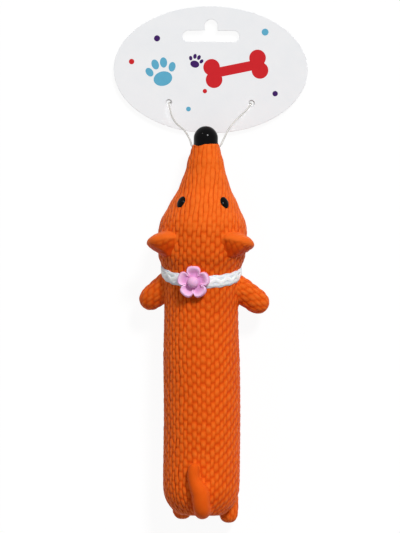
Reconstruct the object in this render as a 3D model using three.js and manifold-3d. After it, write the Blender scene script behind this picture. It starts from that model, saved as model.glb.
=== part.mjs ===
// A natural latex squeaky toy: a long fox with a knitted relief, lying on its belly, with its hang card.
// Millimetres and degrees. +Y runs from the feet to the nose and +Z is up. The origin is on the flat
// of the belly, below the middle of the trunk.
import * as THREE from 'three';
import { mergeVertices } from 'three/addons/utils/BufferGeometryUtils.js';
import Module from 'manifold-3d';

const wasm = await Module();
wasm.setup();

// Fits and cuts
const seatGap = 0.3;
const cutOverrun = 2;

// Body skin
const trunkRadius = 21.1;
const trunkLength = 130;
const neckRadius = 20.6;
const headRadius = 24.4;
const headLength = 84;
const cheekSetback = 24;
const snoutFrontRadius = 6.9;
const snoutSolidLength = 14;
const skinWall = 2.5;
const bellyFlatDepth = 0.6;
const bodyBow = 1.25;

// Nose and eyes
const noseRadius = 6.7;
const noseLength = 10.2;
const eyeLength = 6.9;
const eyeWidth = 5;
const eyeProud = 1.2;
const eyeOffset = 11.8;
const eyeSideStep = 0.5;
const eyeSetback = 42.6;
const eyeLean = 3;

// Ears
const earReach = 8.7;
const earRootDepth = 5;
const earWidth = 23.5;
const earThickness = 11.2;
const earAhead = 19.6;
const earAngle = 33;
const earTilt = 12;

// Arms
const armRadius = 7;
const armReach = 34.3;
const armRootOffset = 13;
const armRootAhead = 1;
const armRootStep = 1.5;
const handBehind = 16;
const handStep = 0.4;
const handDroop = 7;

// Feet
const footRadius = 5.4;
const footReach = 4.1;
const footReachStep = 0.8;
const footRootDepth = 14;
const footOffset = 12.9;
const footDrop = 10.8;
const footSideStep = 1.6;

// Tail
const tailRootRadius = 4.8;
const tailTipRadius = 3.1;
const tailLength = 25.3;
const tailInset = 3.3;
const tailRootHeight = 15.5;
const tailLift = -1.3;
const tailSideStep = 4.8;
const tailRootOffset = 2.1;

// Collar
const collarWidth = 6.6;
const collarProud = 1.4;
const collarAhead = 4.8;
const collarDip = 7;

// Flower
const flowerReach = 8.8;
const flowerHeight = 3.2;
const flowerBevel = 0.9;
const flowerBehind = 2.2;
const flowerOffset = 1.1;
const flowerAngle = 4;
const beadRadius = 3.15;
const beadSink = 1.3;

// Squeaker
const barrelRadius = 8;
const barrelLength = 14;
const barrelWall = 1.1;
const barrelPlate = 1.2;
const flangeRadius = 10.2;
const flangeThickness = 1.4;
const sleeveWall = 2;
const sleeveLength = 12;
const fillSetback = 6;
const grilleRadius = 7.3;
const grilleThickness = 1.2;
const ventRadius = 1;
const ventRingRadius = 4.4;

// Reed
const holderRadius = 3.2;
const holderOverhang = 0.5;
const holderEndWall = 1.2;
const holderFoot = 1;
const windwayRadius = 1.2;
const flatHeight = 1.8;
const slotWidth = 1.6;
const slotTipMargin = 1.1;
const reedWidth = 3.6;
const reedTipDepth = 3.5;
const reedThickness = 0.3;
const clampLength = 2;
const clampHeight = 1.2;

// Hang card
const cardLength = 107.6;
const cardHeight = 70.2;
const cardThickness = 0.6;
const cardAhead = 31.6;
const cardSideStep = 0.8;
const hangSlotLength = 32;
const hangSlotHeight = 6.6;
const hangSlotAhead = 18.5;
const hangDomeWidth = 7.6;
const hangDomeRise = 6.2;
const threadHoleRadius = 1.65;
const threadHoleSpacing = 45.9;
const threadHoleBehind = 18.5;

// Nylon loop
const loopDiameter = 1.1;
const loopUnder = 0.7;
const crossHoleRadius = 0.85;
const crossHoleBehind = 1.2;
const loopSideClearance = 0.6;
const loopTurn = 1;
const lockLength = 6;
const lockWidth = 2;
const lockHeight = 1.4;

// Facets and repeats
const bodySides = 36;
const innerSides = 20;
const limbSides = 20;
const smallSides = 16;
const socketSides = 24;
const petalCount = 5;
const petalSteps = 12;
const ventCount = 6;
const loopSides = 8;
const loopSteps = 80;
const holeSegments = 6;
const cardSegments = 20;

// Outlines, each row a share along and a share across
const cheekBackShares = [[0.19, 0.18], [0.3, 0.42], [0.42, 0.71], [0.53, 0.87], [0.75, 0.96], [1, 1]];
const cheekFrontShares = [
  [0.06, 0.99], [0.16, 0.926], [0.27, 0.766], [0.38, 0.623], [0.49, 0.448], [0.61, 0.328],
  [0.72, 0.224], [0.83, 0.166], [0.885, 0.109], [0.94, 0.069], [0.985, 0.029], [1, 0],
];
const trunkOutlineShares = [
  [0.16, 0.967], [0.28, 0.986], [0.36, 1], [0.6, 1], [0.865, 1], [0.908, 0.976], [0.942, 0.91],
  [0.973, 0.777], [0.992, 0.645], [1, 0.54],
];
const headLiftStartShare = 0.3;
const headLiftFullShare = 0.66;
const headLiftFadeShare = 0.85;
const headLiftEndShare = 1.25;
const bowAheadShare = 0.79;
const bowStillShare = 0.12;
const bowBehindShare = 0.65;
const noseOutlineShares = [[0, 1], [0.42, 1], [0.6, 0.94], [0.76, 0.77], [0.88, 0.56], [0.96, 0.32], [1, 0]];
const lobeOutlineShares = [
  [0, 0], [0, 0.86], [0.3, 0.96], [0.55, 0.84], [0.78, 0.58], [0.92, 0.36], [0.985, 0.18], [1, 0],
];
// How much deeper an ear is behind and how far in its point is there, as shares of its half width
const lobeBackShare = 0.6;
const lobePointShare = 0.4;
const lobePointPower = 0.3;
const limbOutlineShares = [
  [0, 0], [0.05, 0.55], [0.16, 0.86], [0.32, 1], [0.6, 1], [0.78, 0.97], [0.89, 0.78], [0.96, 0.48], [1, 0],
];
const petalNotchShare = 0.36;
const tailPathShares = [
  [0, 0, 0], [-0.03, 0.55, 0], [0.04, 0.9, 0], [0.2, 1, 0.07], [0.39, 1.04, 0.19], [0.62, 1.02, 0.75],
  [0.8, 1, 1], [1, 0.98, 0.86],
];
// Shares along the tail and of the way from its tip's radius to its root's
const tailTaperShares = [
  [0, 0.7], [0.04, 0.98], [0.12, 1], [0.24, 1], [0.36, 1], [0.46, 1], [0.53, 0.95], [0.6, 0.7], [0.68, 0.3],
  [0.76, 0.08], [0.86, 0], [0.94, -0.3],
];
const tailPointShares = [[0.975, 0.6], [0.993, 0.3]];
// A strand's way from the card to the snout: shares inward, backward and upward
const leftStrandShares = [
  [0.03, 0.06, 0.14], [0.09, 0.19, 0.26], [0.18, 0.33, 0.4], [0.35, 0.48, 0.53], [0.66, 0.64, 0.67],
  [0.9, 0.86, 0.88],
];
const rightStrandShares = [
  [0.05, 0.06, 0.14], [0.2, 0.19, 0.26], [0.38, 0.31, 0.38], [0.6, 0.46, 0.52], [0.77, 0.62, 0.66],
  [0.92, 0.84, 0.86],
];

// Places that follow
const neckY = trunkLength / 2;
const feetEndY = neckY - trunkLength;
const noseTipY = neckY + headLength;
const snoutFrontY = noseTipY - noseLength - seatGap;
const cheekY = neckY + cheekSetback;
const axisHeight = trunkRadius - bellyFlatDepth;
const headLift = headRadius - trunkRadius;

// Materials
const finish = (color, roughness) => new THREE.MeshStandardMaterial({ color, roughness, metalness: 0 });
const orangeLatex = finish(0xdf590e, 0.5);
const blackGloss = finish(0x0c0c0d, 0.15);
const whiteLatex = finish(0xeceef2, 0.55);
const pinkLatex = finish(0xe2a2cd, 0.5);
const waddingWhite = finish(0xf4f2ec, 0.95);
const squeakerPlastic = finish(0xf0f0ee, 0.35);
const reedPlastic = finish(0xd8d2b8, 0.3);
const card = finish(0xeef0ee, 0.45);
const clearNylon = finish(0xe8ecee, 0.2);

const toy = new THREE.Group();

// A geometry with its places alone, and one vertex at each, which is done before it is turned
function welded(geometry) {
  const bare = new THREE.BufferGeometry();
  bare.setAttribute('position', geometry.getAttribute('position').clone());
  if (geometry.getIndex()) {
    bare.setIndex(geometry.getIndex().clone());
  }
  return mergeVertices(bare);
}

// A closed solid from a geometry whose faces point out
function solidOf(geometry) {
  const merged = welded(geometry);
  const index = merged.getIndex().array;
  const corners = [];
  for (let i = 0; i < index.length; i += 3) {
    const [a, b, c] = index.slice(i, i + 3);
    if (a !== b && b !== c && c !== a) {
      corners.push(a, b, c);
    }
  }
  const mesh = new wasm.Mesh({
    numProp: 3,
    vertProperties: new Float32Array(merged.getAttribute('position').array),
    triVerts: new Uint32Array(corners),
  });
  return new wasm.Manifold(mesh);
}

// Adds a solid to the toy as a named mesh
function addPiece(name, solid, material) {
  const mesh = solid.getMesh();
  const geometry = new THREE.BufferGeometry();
  geometry.setAttribute('position', new THREE.BufferAttribute(new Float32Array(mesh.vertProperties), 3));
  geometry.setIndex(new THREE.BufferAttribute(new Uint32Array(mesh.triVerts), 1));
  geometry.computeVertexNormals();
  const piece = new THREE.Mesh(geometry, material);
  piece.name = name;
  toy.add(piece);
}

const at = (radius, y) => new THREE.Vector2(radius, y);

// Half of the body's outline, from the flat of the feet end to the snout's front face
const bodyOutline = [
  ...trunkOutlineShares.map(([along, across]) =>
    at(across * trunkRadius, neckY - along * trunkLength)).reverse(),
  at(neckRadius, neckY),
  ...cheekBackShares.map(([along, across]) =>
    at(neckRadius + across * (headRadius - neckRadius), neckY + along * cheekSetback)),
  ...cheekFrontShares.map(([along, across]) =>
    at(snoutFrontRadius + across * (headRadius - snoutFrontRadius), cheekY + along * (snoutFrontY - cheekY))),
];

// The body's outline moved out by a distance, or in where it is negative
function grownOutline(distance) {
  return bodyOutline.map((point, i) => {
    const before = bodyOutline[Math.max(i - 1, 0)];
    const after = bodyOutline[Math.min(i + 1, bodyOutline.length - 1)];
    const along = after.clone().sub(before).normalize();
    return at(point.x + along.y * distance, point.y - along.x * distance);
  });
}

function radiusAt(y) {
  const next = bodyOutline.findIndex((point) => point.y > y);
  const [low, high] = [bodyOutline[next - 1], bodyOutline[next]];
  return THREE.MathUtils.mapLinear(y, low.y, high.y, low.x, high.x);
}

// The head sits higher than the trunk, so that both lie on the same surface
function centreHeightAt(y) {
  const fromNose = (noseTipY - y) / headLength;
  const up = THREE.MathUtils.smoothstep(fromNose, headLiftStartShare, headLiftFullShare);
  const down = 1 - THREE.MathUtils.smoothstep(fromNose, headLiftFadeShare, headLiftEndShare);
  return axisHeight + headLift * up * down;
}

// The moulding bows a little to the left at the neck
function centreAsideAt(y) {
  const ahead = 1 - THREE.MathUtils.smoothstep((y - neckY) / headLength, 0, bowAheadShare);
  const behind = 1 - THREE.MathUtils.smoothstep((neckY - y) / trunkLength, bowStillShare, bowBehindShare);
  return -bodyBow * ahead * behind;
}

// A shape turned about the body's centre line, from a half outline that starts and ends on the line
function turnedOnBody(outline, sides = bodySides) {
  const geometry = new THREE.LatheGeometry(outline, sides);
  const place = geometry.getAttribute('position');
  for (let i = 0; i < place.count; i += 1) {
    place.setX(i, place.getX(i) + centreAsideAt(place.getY(i)));
    place.setZ(i, place.getZ(i) + centreHeightAt(place.getY(i)));
  }
  return solidOf(geometry);
}

function closedToAxis(outline) {
  return [at(0, outline[0].y), ...outline, at(0, outline[outline.length - 1].y)];
}

function grownSkin(distance) {
  const outline = grownOutline(distance);
  const ends = [at(0, feetEndY - distance), at(0, snoutFrontY + distance)];
  return turnedOnBody([ends[0], at(outline[0].x, ends[0].y), ...outline.slice(1, -1),
    at(outline[outline.length - 1].x, ends[1].y), ends[1]]);
}

// A shape turned about a line along Y at the trunk's axis height, from places measured in from the feet end
function turnedInFeetEnd(outline) {
  const geometry = new THREE.LatheGeometry(outline, socketSides);
  geometry.translate(0, feetEndY, axisHeight);
  return solidOf(geometry);
}

function cylinderInFeetEnd(radius, from, to) {
  return turnedInFeetEnd([at(0, from), at(radius, from), at(radius, to), at(0, to)]);
}

function blockSolid(width, length, height, x, y, z) {
  const geometry = new THREE.BoxGeometry(width, length, height);
  geometry.translate(x, y, z);
  return solidOf(geometry);
}

// A round shape along a straight line, with an outline of shares of its length and radius
function turnedBetween(start, end, radius, shares) {
  const outline = shares.map(([along, across]) => at(across * radius, along * start.distanceTo(end)));
  const axis = end.clone().sub(start).normalize();
  const across = axis.clone().cross(new THREE.Vector3(0, 0, 1)).normalize();
  const geometry = welded(new THREE.LatheGeometry(outline, limbSides));
  geometry.applyMatrix4(new THREE.Matrix4().makeBasis(across, axis, across.clone().cross(axis))
    .setPosition(start));
  return solidOf(geometry);
}

const bodySkin = grownSkin(0);
const skinWithGap = grownSkin(seatGap);

// Body skin: the hollow moulding, open at the feet end through the squeaker's socket
const cavityFrontY = snoutFrontY - snoutSolidLength;
function innerOutline(distance, fromY, toY) {
  const inner = grownOutline(-distance).filter((point) => point.y > fromY && point.y < toY);
  return closedToAxis([at(inner[0].x, fromY), ...inner, at(inner[inner.length - 1].x, toY)]);
}
const sleeveRadius = barrelRadius + seatGap + sleeveWall;
const cavity = turnedOnBody(innerOutline(skinWall, feetEndY + skinWall, cavityFrontY), innerSides)
  .subtract(cylinderInFeetEnd(sleeveRadius, -cutOverrun, sleeveLength));
const socket = cylinderInFeetEnd(barrelRadius + seatGap, -cutOverrun, barrelLength + cutOverrun);
const flangeRecess = cylinderInFeetEnd(flangeRadius + seatGap, -cutOverrun, flangeThickness + seatGap);
const floorBlock = blockSolid(
  4 * headRadius, 2 * (trunkLength + headLength), headRadius, 0, 0, -headRadius / 2);

const crossHoleY = snoutFrontY - crossHoleBehind;
const crossHoleHeight = centreHeightAt(crossHoleY);
const crossHoleGeometry = new THREE.CylinderGeometry(
  crossHoleRadius, crossHoleRadius, 4 * noseRadius, smallSides);
crossHoleGeometry.rotateZ(Math.PI / 2);
crossHoleGeometry.translate(0, crossHoleY, crossHoleHeight);

addPiece('body_skin', bodySkin.subtract(cavity).subtract(socket).subtract(flangeRecess)
  .subtract(solidOf(crossHoleGeometry)).subtract(floorBlock), orangeLatex);

// Wadding: fills the skin between the squeaker and the solid snout
addPiece('fibre_fill', turnedOnBody(innerOutline(
  skinWall + seatGap, feetEndY + barrelLength + fillSetback, cavityFrontY - seatGap), innerSides),
waddingWhite);

// Nose: a smooth cap on the snout's front face
const noseOutline = noseOutlineShares.map(([along, across]) => at(across * noseRadius, along * noseLength));
const noseGeometry = new THREE.LatheGeometry([at(0, 0), ...noseOutline], limbSides);
noseGeometry.translate(0, noseTipY - noseLength, centreHeightAt(snoutFrontY));
addPiece('nose_tip', solidOf(noseGeometry), blackGloss);

// Eyes: domed ovals that lean in towards the nose
for (const [name, side] of [['left_eye', -1], ['right_eye', 1]]) {
  const y = noseTipY - eyeSetback;
  const radius = radiusAt(y);
  const slope = (radiusAt(y + eyeLength) - radiusAt(y - eyeLength)) / (2 * eyeLength);
  const aside = side * eyeOffset + eyeSideStep;
  const sine = aside / radius;
  const cosine = Math.sqrt(1 - sine * sine);
  const normal = new THREE.Vector3(sine, -slope, cosine).normalize();
  const forward = new THREE.Vector3(sine * slope, 1, cosine * slope).normalize();
  const inward = new THREE.Vector3(-side * cosine, 0, side * sine);
  const lean = THREE.MathUtils.degToRad(eyeLean);
  const along = forward.multiplyScalar(Math.cos(lean)).addScaledVector(inward, Math.sin(lean)).normalize();
  const across = along.clone().cross(normal);
  const geometry = welded(new THREE.SphereGeometry(1, smallSides, smallSides / 2));
  geometry.scale(eyeWidth / 2, eyeLength / 2, eyeProud);
  geometry.applyMatrix4(new THREE.Matrix4().makeBasis(across, along, normal)
    .setPosition(centreAsideAt(y) + aside, y, centreHeightAt(y) + radius * cosine));
  addPiece(name, solidOf(geometry).subtract(skinWithGap), blackGloss);
}

// Ears: lobes that stand out from the head, round towards the nose and pointed towards the neck
const earLength = earReach + earRootDepth;
for (const [name, side] of [['left_ear', -1], ['right_ear', 1]]) {
  const y = neckY + earAhead;
  const angle = THREE.MathUtils.degToRad(earAngle);
  const tilt = THREE.MathUtils.degToRad(earTilt);
  const outline = lobeOutlineShares.map(([along, across]) => at(across * earWidth / 2, along * earLength));
  const geometry = welded(new THREE.LatheGeometry(outline, limbSides));
  const place = geometry.getAttribute('position');
  for (let i = 0; i < place.count; i += 1) {
    const left = 1 - place.getY(i) / earLength;
    const aside = side * place.getX(i) / (earWidth / 2) - lobePointShare;
    const off = Math.min(Math.abs(aside) / (1 - Math.sign(aside) * lobePointShare), 1);
    const point = ((1 - off) / (1 + off)) ** lobePointPower;
    const front = earThickness / earWidth;
    place.setZ(i, place.getZ(i) * (place.getZ(i) < 0 ? (front + lobeBackShare * left) * point : front));
  }
  const outward = new THREE.Vector3(side * Math.cos(angle), 0, Math.sin(angle));
  const inward = new THREE.Vector3(-side * Math.sin(angle), 0, Math.cos(angle));
  const front = new THREE.Vector3(0, Math.cos(tilt), 0).addScaledVector(inward, -Math.sin(tilt));
  const root = new THREE.Vector3(centreAsideAt(y), y, centreHeightAt(y))
    .addScaledVector(outward, radiusAt(y) - earRootDepth);
  geometry.applyMatrix4(new THREE.Matrix4().makeBasis(outward.clone().cross(front), outward, front)
    .setPosition(root));
  addPiece(name, solidOf(geometry).subtract(skinWithGap), orangeLatex);
}

// Collar: a band round the neck that dips towards the feet on the back
function collarBandSolid(allowance) {
  const reach = 2 * headRadius;
  const half = collarWidth / 2 + allowance;
  const steps = [0, neckRadius / 2, neckRadius, reach];
  const outline = [
    ...steps.map((radius) => at(radius, -half)),
    ...steps.map((radius) => at(radius, half)).reverse(),
  ];
  const geometry = new THREE.LatheGeometry(outline, bodySides);
  const place = geometry.getAttribute('position');
  for (let i = 0; i < place.count; i += 1) {
    const high = THREE.MathUtils.clamp(place.getZ(i) / neckRadius, -1, 1);
    const dip = collarDip * (1 + high) * (1 + high) / 4;
    place.setY(i, place.getY(i) + neckY + collarAhead - dip);
    place.setZ(i, place.getZ(i) + axisHeight);
  }
  return solidOf(geometry).intersect(grownSkin(collarProud + allowance));
}
addPiece('collar_band', collarBandSolid(0).subtract(skinWithGap).subtract(floorBlock), whiteLatex);
const collarWithGap = collarBandSolid(seatGap);

// Arms: blunt limbs that leave the trunk under the collar and point out and back
for (const [name, side] of [['left_arm', -1], ['right_arm', 1]]) {
  const rootY = neckY + armRootAhead - side * armRootStep;
  const tipY = neckY - handBehind - side * handStep;
  const root = new THREE.Vector3(side * armRootOffset, rootY, centreHeightAt(rootY));
  const tip = new THREE.Vector3(side * armReach, tipY, axisHeight - handDroop);
  const limb = turnedBetween(root, tip, armRadius, limbOutlineShares);
  addPiece(name, limb.subtract(skinWithGap).subtract(collarWithGap), orangeLatex);
}

// Feet: two stubs that stand out of the feet end on the belly side
for (const [name, side] of [['left_foot', -1], ['right_foot', 1]]) {
  const x = side * footOffset + footSideStep;
  const root = new THREE.Vector3(x, feetEndY + footRootDepth, axisHeight - footDrop);
  const tip = new THREE.Vector3(x, feetEndY - footReach - side * footReachStep, axisHeight - footDrop);
  const limb = turnedBetween(root, tip, footRadius, limbOutlineShares);
  addPiece(name, limb.subtract(skinWithGap), orangeLatex);
}

// Tail: a smooth taper that leaves the feet end and curls forward over the back
const tailTopHeight = axisHeight + trunkRadius + tailTipRadius + tailLift;
const tailStart = new THREE.Vector3(tailRootOffset, feetEndY + tailInset, axisHeight + tailRootHeight);
const tailPath = new THREE.CatmullRomCurve3(tailPathShares.map(([forward, up, aside]) => new THREE.Vector3(
  tailStart.x - aside * tailSideStep,
  tailStart.y + forward * tailLength,
  THREE.MathUtils.lerp(tailStart.z, tailTopHeight, up),
)));
const tailOutline = [
  at(0, 0),
  ...tailTaperShares.map(([along, across]) =>
    at(THREE.MathUtils.lerp(tailTipRadius, tailRootRadius, across), along)),
  ...tailPointShares.map(([along, across]) => at(across * tailTipRadius, along)),
  at(0, 1),
];
const tailGeometry = welded(new THREE.LatheGeometry(tailOutline, smallSides));
const tailPlace = tailGeometry.getAttribute('position');
for (let i = 0; i < tailPlace.count; i += 1) {
  const along = THREE.MathUtils.clamp(tailPlace.getY(i), 0, 1);
  const centre = tailPath.getPointAt(along);
  const forward = tailPath.getTangentAt(along);
  const side = new THREE.Vector3(1, 0, 0).addScaledVector(forward, -forward.x).normalize();
  const up = side.clone().cross(forward);
  centre.addScaledVector(side, tailPlace.getX(i)).addScaledVector(up, tailPlace.getZ(i));
  tailPlace.setXYZ(i, centre.x, centre.y, centre.z);
}
addPiece('tail', solidOf(tailGeometry).subtract(skinWithGap), orangeLatex);

// Flower: five petals round a bead, on the collar just left of the middle of the back
const flowerTurn = THREE.MathUtils.degToRad(flowerAngle);
const flowerNormal = new THREE.Vector3(-Math.sin(flowerTurn), 0, Math.cos(flowerTurn));
const flowerY = neckY - flowerBehind;
const flowerSeatRadius = radiusAt(flowerY) + collarProud;
const flowerAxisPoint = new THREE.Vector3(
  centreAsideAt(flowerY) - flowerOffset, flowerY, centreHeightAt(flowerY));
const flowerFrame = (radius) => new THREE.Matrix4().makeBasis(
  new THREE.Vector3(flowerNormal.z, 0, -flowerNormal.x), new THREE.Vector3(0, 1, 0), flowerNormal,
).setPosition(flowerAxisPoint.clone().addScaledVector(flowerNormal, radius));
const flowerShape = new THREE.Shape(Array.from({ length: petalCount * petalSteps }, (_, i) => {
  const turn = (i / (petalCount * petalSteps)) * 2 * Math.PI;
  const lobe = Math.abs(Math.sin((petalCount * turn) / 2));
  const aside = turn + Math.PI / petalCount;
  const radius = (flowerReach - flowerBevel) * (1 - petalNotchShare * (1 - Math.sqrt(lobe)));
  return new THREE.Vector2(-radius * Math.sin(aside), radius * Math.cos(aside));
}));
const flowerGeometry = new THREE.ExtrudeGeometry(flowerShape, {
  depth: flowerHeight + 2 * collarProud,
  bevelThickness: flowerBevel,
  bevelSize: flowerBevel,
  bevelSegments: 1,
  steps: 1,
});
flowerGeometry.applyMatrix4(flowerFrame(flowerSeatRadius - 2 * collarProud - flowerBevel));
const beadCentre = flowerFrame(flowerSeatRadius + flowerHeight + beadRadius - beadSink);
const beadOf = (radius) => solidOf(welded(new THREE.SphereGeometry(radius, smallSides, smallSides / 2))
  .rotateX(Math.PI / 2).applyMatrix4(beadCentre));
addPiece('flower_petals', solidOf(flowerGeometry).subtract(skinWithGap).subtract(collarWithGap)
  .subtract(beadOf(beadRadius + seatGap)), pinkLatex);
addPiece('flower_centre', beadOf(beadRadius), pinkLatex);

// Squeaker: a flanged cup in the feet end, closed by a vented cap
const barrelBore = barrelRadius - barrelWall;
const grilleSeatRadius = grilleRadius + seatGap;
const grilleSeatDepth = grilleThickness + seatGap;
const holderBore = holderRadius + seatGap;
addPiece('squeaker_housing', turnedInFeetEnd([
  at(grilleSeatRadius, 0), at(flangeRadius, 0), at(flangeRadius, flangeThickness),
  at(barrelRadius, flangeThickness), at(barrelRadius, barrelLength), at(holderBore, barrelLength),
  at(holderBore, barrelLength - barrelPlate), at(barrelBore, barrelLength - barrelPlate),
  at(barrelBore, grilleSeatDepth), at(grilleSeatRadius, grilleSeatDepth), at(grilleSeatRadius, 0),
]), squeakerPlastic);

const grilleShape = new THREE.Shape().absarc(0, 0, grilleRadius, 0, 2 * Math.PI);
const ventAt = (x, y) => new THREE.Path().absarc(x, y, ventRadius, 0, 2 * Math.PI, true);
grilleShape.holes.push(ventAt(0, 0));
for (let i = 0; i < ventCount; i += 1) {
  const turn = (i / ventCount) * 2 * Math.PI;
  grilleShape.holes.push(ventAt(ventRingRadius * Math.cos(turn), ventRingRadius * Math.sin(turn)));
}
const grilleGeometry = new THREE.ExtrudeGeometry(grilleShape,
  { depth: grilleThickness, bevelEnabled: false, curveSegments: holeSegments });
grilleGeometry.rotateX(Math.PI / 2);
grilleGeometry.translate(0, feetEndY + grilleThickness, axisHeight);
addPiece('squeaker_grille', solidOf(grilleGeometry), squeakerPlastic);

// Reed: a thin tongue over the slot in its holder's flat, held at the root by a pad
const holderInnerEnd = barrelLength + holderOverhang;
const reedRoot = barrelLength - barrelPlate - holderFoot - seatGap;
const reedLength = reedRoot - reedTipDepth;
const slotLength = reedLength - clampLength - seatGap - slotTipMargin;
const holderOuterEnd = reedTipDepth - clampLength / 2;
const windway = cylinderInFeetEnd(windwayRadius, holderOuterEnd + holderEndWall, holderInnerEnd + cutOverrun);
const flatLength = reedRoot + seatGap - holderOuterEnd + cutOverrun;
const flatCut = blockSolid(2 * holderRadius + cutOverrun, flatLength, holderRadius,
  0, feetEndY + holderOuterEnd - cutOverrun + flatLength / 2, axisHeight + flatHeight + holderRadius / 2);
const slotMiddle = reedRoot - clampLength - seatGap - slotLength / 2;
const windSlot = blockSolid(slotWidth, slotLength, flatHeight + cutOverrun,
  0, feetEndY + slotMiddle, axisHeight + (flatHeight + cutOverrun) / 2);
addPiece('reed_holder', cylinderInFeetEnd(holderRadius, holderOuterEnd, holderInnerEnd)
  .subtract(windway).subtract(flatCut).subtract(windSlot), squeakerPlastic);

const reedBottom = axisHeight + flatHeight + seatGap;
addPiece('reed_tongue', blockSolid(reedWidth, reedLength, reedThickness,
  0, feetEndY + reedRoot - reedLength / 2, reedBottom + reedThickness / 2), reedPlastic);
const clampBottom = reedBottom + reedThickness + seatGap;
addPiece('reed_clamp', blockSolid(reedWidth, clampLength, clampHeight,
  0, feetEndY + reedRoot - clampLength / 2, clampBottom + clampHeight / 2), squeakerPlastic);

// Hang card: an oval with a hanging slot far from the toy and two thread holes near it
const cardY = noseTipY + cardAhead;
const cardBottom = loopUnder + lockHeight / 2 + seatGap + loopDiameter / 2 + crossHoleRadius / 2;
const cardShape = new THREE.Shape().absellipse(0, 0, cardLength / 2, cardHeight / 2, 0, 2 * Math.PI);
const slotEnd = (hangSlotLength - hangSlotHeight) / 2;
const slotRadius = hangSlotHeight / 2;
const domeRadius = hangDomeWidth / 2;
const domeTop = hangSlotAhead + slotRadius + hangDomeRise - domeRadius;
const hangSlot = new THREE.Path();
hangSlot.absarc(slotEnd, hangSlotAhead, slotRadius, -Math.PI / 2, Math.PI / 2);
hangSlot.lineTo(domeRadius, hangSlotAhead + slotRadius);
hangSlot.absarc(0, domeTop, domeRadius, 0, Math.PI);
hangSlot.lineTo(-domeRadius, hangSlotAhead + slotRadius);
hangSlot.absarc(-slotEnd, hangSlotAhead, slotRadius, Math.PI / 2, (3 * Math.PI) / 2);
hangSlot.closePath();
cardShape.holes.push(hangSlot);
for (const side of [-1, 1]) {
  cardShape.holes.push(new THREE.Path().absarc(
    (side * threadHoleSpacing) / 2, -threadHoleBehind, threadHoleRadius, 0, 2 * Math.PI, true));
}
const cardGeometry = new THREE.ExtrudeGeometry(cardShape,
  { depth: cardThickness, bevelEnabled: false, curveSegments: cardSegments });
cardGeometry.translate(cardSideStep, cardY, cardBottom);
addPiece('tag_card', solidOf(cardGeometry), card);

// Nylon loop: from the lock under the card, up through a hole, through the snout and back
const threadY = cardY - threadHoleBehind;
const cardTop = cardBottom + cardThickness;
const snoutSide = radiusAt(crossHoleY) + loopSideClearance;
function strandPoints(side, shares) {
  const hole = new THREE.Vector3(cardSideStep + (side * threadHoleSpacing) / 2, threadY, cardTop);
  const snout = new THREE.Vector3(side * (snoutSide + loopTurn / 2), crossHoleY + loopTurn, crossHoleHeight);
  return [
    new THREE.Vector3(cardSideStep + side * (lockLength / 2 + seatGap), threadY, loopUnder),
    new THREE.Vector3(cardSideStep + (side * threadHoleSpacing) / 4, threadY, loopUnder),
    new THREE.Vector3(hole.x - side * (loopTurn + threadHoleRadius), threadY, loopUnder),
    new THREE.Vector3(hole.x - (side * loopDiameter) / 2, threadY, cardBottom - loopDiameter / 2),
    new THREE.Vector3(hole.x, threadY, cardTop),
    ...shares.map(([inward, backward, upward]) => new THREE.Vector3(
      THREE.MathUtils.lerp(hole.x, snout.x, inward),
      THREE.MathUtils.lerp(hole.y, snout.y, backward),
      THREE.MathUtils.lerp(hole.z, snout.z, upward))),
    new THREE.Vector3(side * (snoutSide - loopDiameter / 2), crossHoleY, crossHoleHeight),
    new THREE.Vector3(side * noseRadius, crossHoleY, crossHoleHeight),
    new THREE.Vector3((side * noseRadius) / 2, crossHoleY, crossHoleHeight),
  ];
}
const loopPath = new THREE.CatmullRomCurve3([
  ...strandPoints(-1, leftStrandShares),
  ...strandPoints(1, rightStrandShares).reverse(),
], false, 'centripetal');
const loopSection = new THREE.Shape(Array.from({ length: loopSides }, (_, i) => {
  const turn = (i / loopSides) * 2 * Math.PI;
  return new THREE.Vector2(Math.cos(turn), Math.sin(turn)).multiplyScalar(loopDiameter / 2);
}));
addPiece('tag_loop', solidOf(new THREE.ExtrudeGeometry(loopSection,
  { steps: loopSteps, extrudePath: loopPath, bevelEnabled: false })), clearNylon);
addPiece('tag_loop_lock', blockSolid(lockLength, lockWidth, lockHeight,
  cardSideStep, threadY, lockHeight / 2), clearNylon);

export default toy;
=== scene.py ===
import math

import bmesh
import bpy
import numpy as np
from mathutils import Matrix, Vector


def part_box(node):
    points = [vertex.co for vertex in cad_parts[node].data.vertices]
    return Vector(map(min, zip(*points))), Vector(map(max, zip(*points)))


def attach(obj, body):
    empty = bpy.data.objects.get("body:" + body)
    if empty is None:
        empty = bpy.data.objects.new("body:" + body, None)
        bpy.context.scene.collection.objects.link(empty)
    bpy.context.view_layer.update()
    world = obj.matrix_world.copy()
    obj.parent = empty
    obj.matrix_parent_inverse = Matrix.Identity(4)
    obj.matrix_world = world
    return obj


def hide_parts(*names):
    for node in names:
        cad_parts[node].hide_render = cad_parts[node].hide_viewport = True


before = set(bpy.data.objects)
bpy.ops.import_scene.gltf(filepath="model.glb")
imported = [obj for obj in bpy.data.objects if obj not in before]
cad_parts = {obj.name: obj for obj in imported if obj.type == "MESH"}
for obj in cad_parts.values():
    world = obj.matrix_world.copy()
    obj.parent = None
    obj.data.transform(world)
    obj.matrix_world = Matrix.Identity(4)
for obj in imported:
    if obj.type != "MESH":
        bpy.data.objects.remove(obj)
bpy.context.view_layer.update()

# The moulded body: one long hollow of orange latex, turned about a line that rises a little under the
# head and bows to the left at the neck. Its outline, its knitted relief and its latex are used by every
# orange piece below.
MM = 0.001
TRUNK_RADIUS = 21.1 * MM
AXIS_HEIGHT = 20.5 * MM
HEAD_LIFT = 3.3 * MM
NECK_Y = 65 * MM
FEET_END_Y = -65 * MM
SNOUT_Y = 138.5 * MM
NOSE_TIP_Y = 149 * MM
HEAD_LENGTH = 84 * MM
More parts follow.
